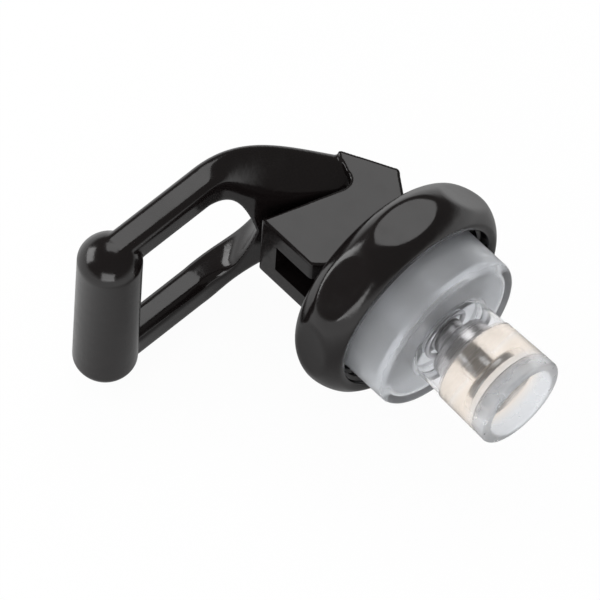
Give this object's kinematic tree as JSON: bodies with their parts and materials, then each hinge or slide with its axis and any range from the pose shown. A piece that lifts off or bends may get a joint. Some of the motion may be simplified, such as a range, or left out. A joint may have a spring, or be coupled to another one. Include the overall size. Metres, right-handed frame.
{
  "type": "drinks tap upper assembly",
  "caption": "Looped lever handle on a dished bonnet nut, with a sprung stem and a translucent silicone seat cup, for a self-closing drinks dispenser tap.",
  "frame": {"origin": "centre of the bonnet's mouth, on the stem axis", "axes": "+X along the stem towards the seat cup, the way the tap body leaves; +Z along the handle pin; the handle reaches to -X and -Y at rest"},
  "size_m": [0.0719, 0.0706, 0.0444],
  "materials": {
    "black_plastic": "gloss",
    "steel": "polished",
    "spring_steel": "drawn wire",
    "silicone": "translucent"
  },
  "bodies": {
    "bonnet_body": {"bonnet": "black_plastic"},
    "swivel": {"spring_washer": "steel", "spring": "spring_steel", "seat_cup_skirt": "silicone", "seat_cup_neck": "silicone"},
    "stem_body": {"stem": "steel", "seat_cup_plug": "silicone"},
    "handle_body": {"handle": "black_plastic", "handle_pin": "steel"}
  },
  "joints": [
    {"name": "bonnet_swivel", "type": "hinge", "parent": "bonnet_body", "child": "swivel", "pos_m": [0, 0, 0], "axis": [1, 0, 0], "continuous": true},
    {"name": "stem_lift", "type": "slide", "parent": "swivel", "child": "stem_body", "axis": [-1, 0, 0], "range_m": [0, 0.00393], "stiffness_N_per_m": 1750, "springref_m": -0.006, "deforming": ["spring", "seat_cup_neck"]},
    {"name": "handle_tilt", "type": "hinge", "parent": "stem_body", "child": "handle_body", "pos_m": [-0.02, 0, 0], "axis": [0, 0, 1], "range_deg": [0, 45]}
  ],
  "couplings": [
    {"joint": "handle_tilt", "follows": "stem_lift", "rad_per_m": 200}
  ]
}
